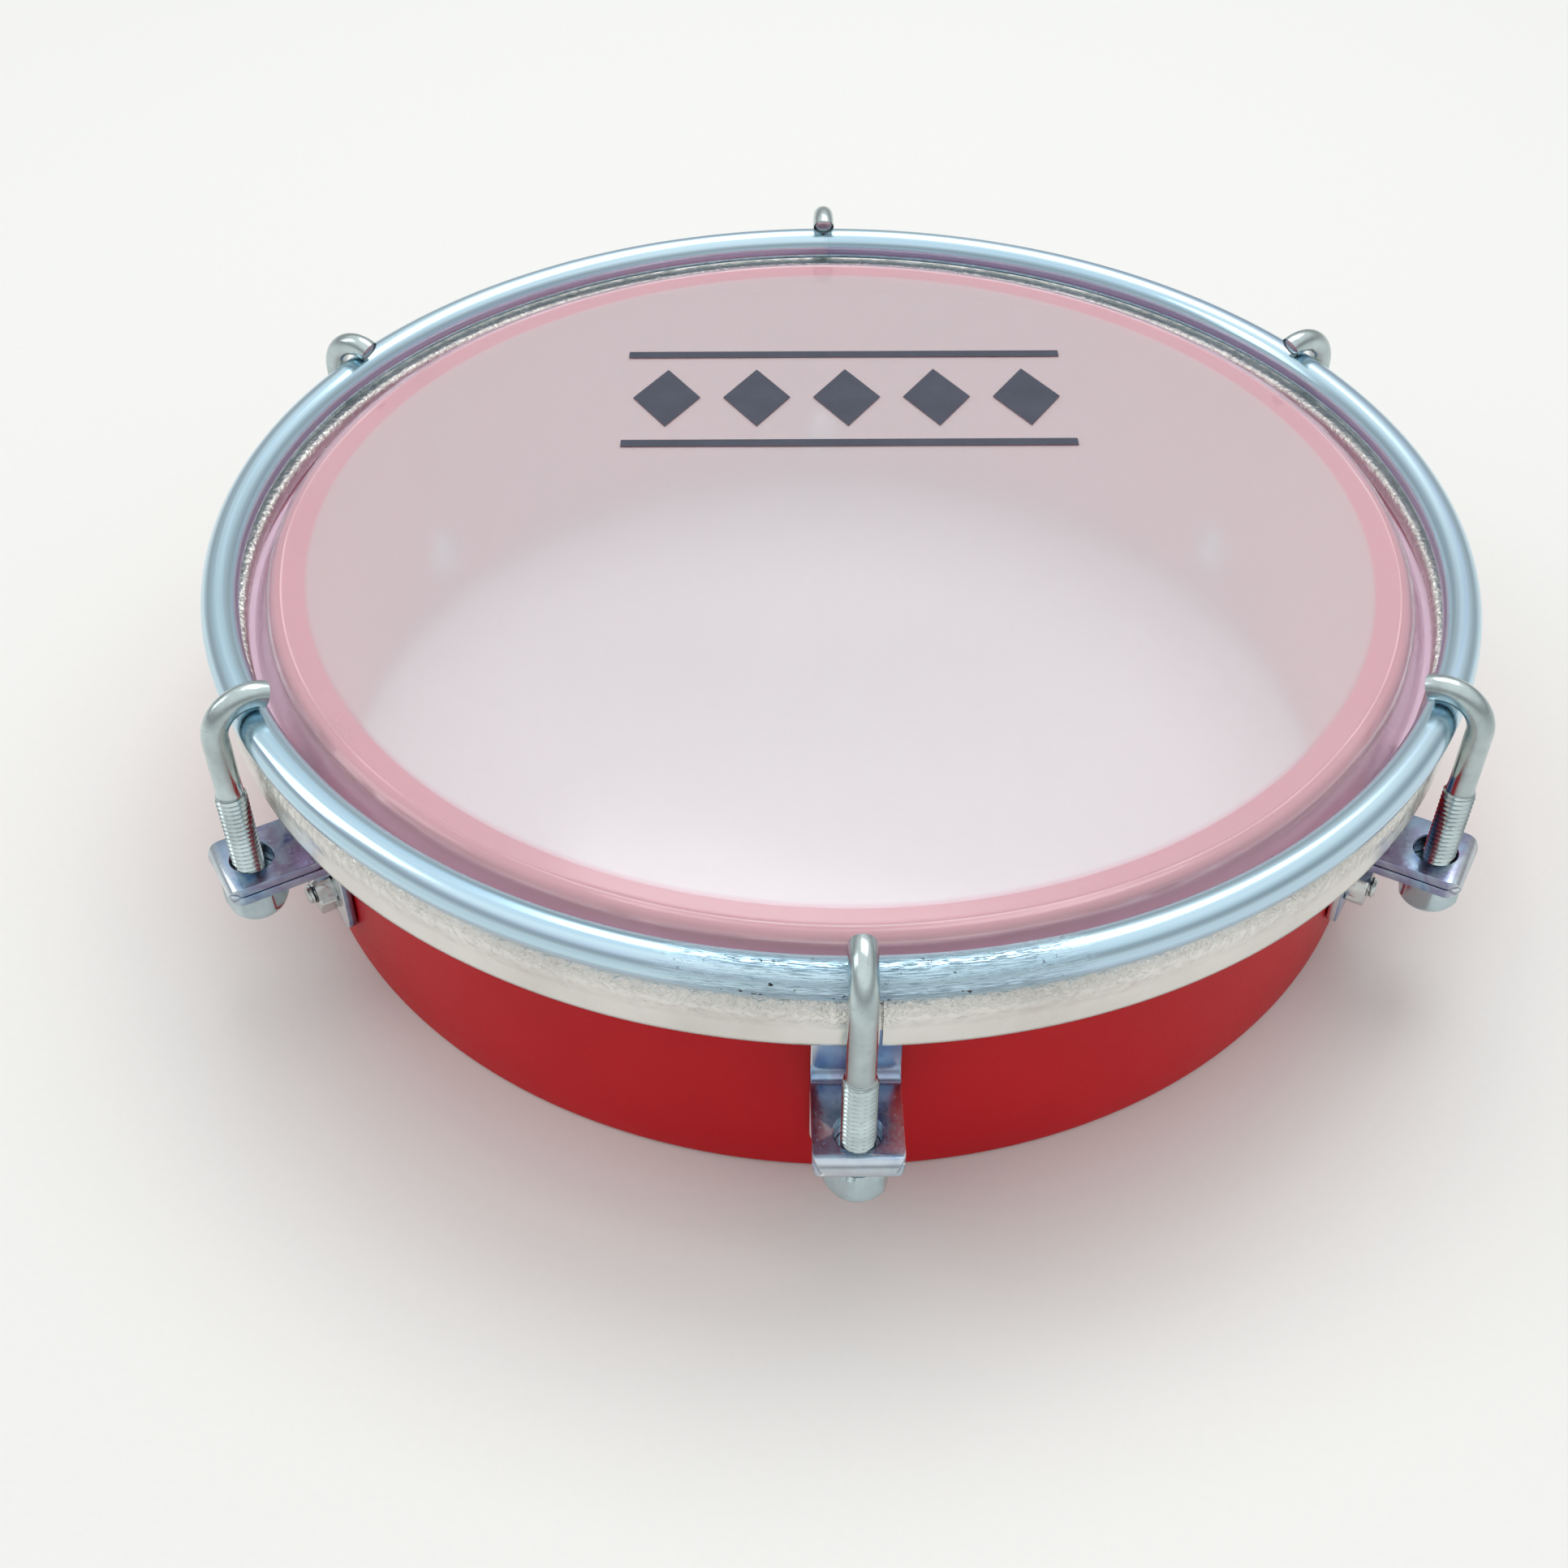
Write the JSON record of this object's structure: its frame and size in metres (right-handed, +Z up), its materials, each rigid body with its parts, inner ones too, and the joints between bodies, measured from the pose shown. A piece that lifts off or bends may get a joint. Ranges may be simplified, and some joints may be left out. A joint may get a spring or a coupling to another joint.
{
  "type": "tamborim",
  "caption": "Small round hand drum with an open-bottomed shell, a clamped film head, a round-bar counter hoop, and J-hooks tensioned by nuts under folded brackets.",
  "frame": {"origin": "centre of the shell's foot, in the plane that it stands on", "axes": "+Z up along the drum's axis, +Y away from lug 1, +X to the right seen from lug 1; lugs are numbered anticlockwise from above"},
  "size_m": [0.1688, 0.182, 0.0468],
  "materials": {
    "red_shell": "moulded red plastic with a soft satin shine",
    "head_film": "thin milky translucent plastic film, smooth",
    "lock_ring": "plain drawn ring, hidden in the flesh hoop",
    "flesh_hoop_aluminium": "mill-finish aluminium strip, puckered where it is rolled over",
    "hoop_zinc": "bright blue-passivated zinc plate over a drawn bar, with fine streaks along it",
    "bracket_zinc": "bright blue-passivated zinc plate on folded sheet steel, with bluish and purple patches",
    "hook_zinc": "clear zinc plate with a greenish grey cast and small scuffs",
    "nut_zinc": "clear zinc plate, smooth",
    "screw_zinc": "clear zinc plate, smooth"
  },
  "bodies": {
    "root": {"shell": "red_shell", "drumhead_film": "head_film", "film_lock_ring": "lock_ring", "flesh_hoop": "flesh_hoop_aluminium", "counter_hoop": "hoop_zinc", "bracket_1": "bracket_zinc", "bracket_2": "bracket_zinc", "bracket_3": "bracket_zinc", "bracket_4": "bracket_zinc", "bracket_5": "bracket_zinc", "bracket_6": "bracket_zinc", "bracket_screw_1": "screw_zinc", "bracket_screw_2": "screw_zinc", "bracket_screw_3": "screw_zinc", "bracket_screw_4": "screw_zinc", "bracket_screw_5": "screw_zinc", "bracket_screw_6": "screw_zinc", "screw_nut_1": "screw_zinc", "screw_nut_2": "screw_zinc", "screw_nut_3": "screw_zinc", "screw_nut_4": "screw_zinc", "screw_nut_5": "screw_zinc", "screw_nut_6": "screw_zinc"},
    "hook_1": {"tension_hook_1": "hook_zinc"},
    "nut_1": {"tuning_nut_1": "nut_zinc"},
    "hook_2": {"tension_hook_2": "hook_zinc"},
    "nut_2": {"tuning_nut_2": "nut_zinc"},
    "hook_3": {"tension_hook_3": "hook_zinc"},
    "nut_3": {"tuning_nut_3": "nut_zinc"},
    "hook_4": {"tension_hook_4": "hook_zinc"},
    "nut_4": {"tuning_nut_4": "nut_zinc"},
    "hook_5": {"tension_hook_5": "hook_zinc"},
    "nut_5": {"tuning_nut_5": "nut_zinc"},
    "hook_6": {"tension_hook_6": "hook_zinc"},
    "nut_6": {"tuning_nut_6": "nut_zinc"}
  },
  "joints": [
    {"name": "nut_turn_1", "type": "hinge", "parent": "root", "child": "nut_1", "pos_m": [0, -0.0869, 0.0156], "axis": [0, 0, -1], "range_deg": [0, 1444]},
    {"name": "hook_lift_1", "type": "slide", "parent": "root", "child": "hook_1", "axis": [0, 0, 1], "range_m": [0, 0.0028]},
    {"name": "nut_turn_2", "type": "hinge", "parent": "root", "child": "nut_2", "pos_m": [0.07526, -0.04345, 0.0156], "axis": [0, 0, -1], "range_deg": [0, 1444]},
    {"name": "hook_lift_2", "type": "slide", "parent": "root", "child": "hook_2", "axis": [0, 0, 1], "range_m": [0, 0.0028]},
    {"name": "nut_turn_3", "type": "hinge", "parent": "root", "child": "nut_3", "pos_m": [0.07526, 0.04345, 0.0156], "axis": [0, 0, -1], "range_deg": [0, 1444]},
    {"name": "hook_lift_3", "type": "slide", "parent": "root", "child": "hook_3", "axis": [0, 0, 1], "range_m": [0, 0.0028]},
    {"name": "nut_turn_4", "type": "hinge", "parent": "root", "child": "nut_4", "pos_m": [0, 0.0869, 0.0156], "axis": [0, 0, -1], "range_deg": [0, 1444]},
    {"name": "hook_lift_4", "type": "slide", "parent": "root", "child": "hook_4", "axis": [0, 0, 1], "range_m": [0, 0.0028]},
    {"name": "nut_turn_5", "type": "hinge", "parent": "root", "child": "nut_5", "pos_m": [-0.07526, 0.04345, 0.0156], "axis": [0, 0, -1], "range_deg": [0, 1444]},
    {"name": "hook_lift_5", "type": "slide", "parent": "root", "child": "hook_5", "axis": [0, 0, 1], "range_m": [0, 0.0028]},
    {"name": "nut_turn_6", "type": "hinge", "parent": "root", "child": "nut_6", "pos_m": [-0.07526, -0.04345, 0.0156], "axis": [0, 0, -1], "range_deg": [0, 1444]},
    {"name": "hook_lift_6", "type": "slide", "parent": "root", "child": "hook_6", "axis": [0, 0, 1], "range_m": [0, 0.0028]}
  ],
  "couplings": [
    {"joint": "nut_turn_1", "follows": "hook_lift_1", "rad_per_m": 8976},
    {"joint": "nut_turn_2", "follows": "hook_lift_2", "rad_per_m": 8976},
    {"joint": "nut_turn_3", "follows": "hook_lift_3", "rad_per_m": 8976},
    {"joint": "nut_turn_4", "follows": "hook_lift_4", "rad_per_m": 8976},
    {"joint": "nut_turn_5", "follows": "hook_lift_5", "rad_per_m": 8976},
    {"joint": "nut_turn_6", "follows": "hook_lift_6", "rad_per_m": 8976}
  ]
}
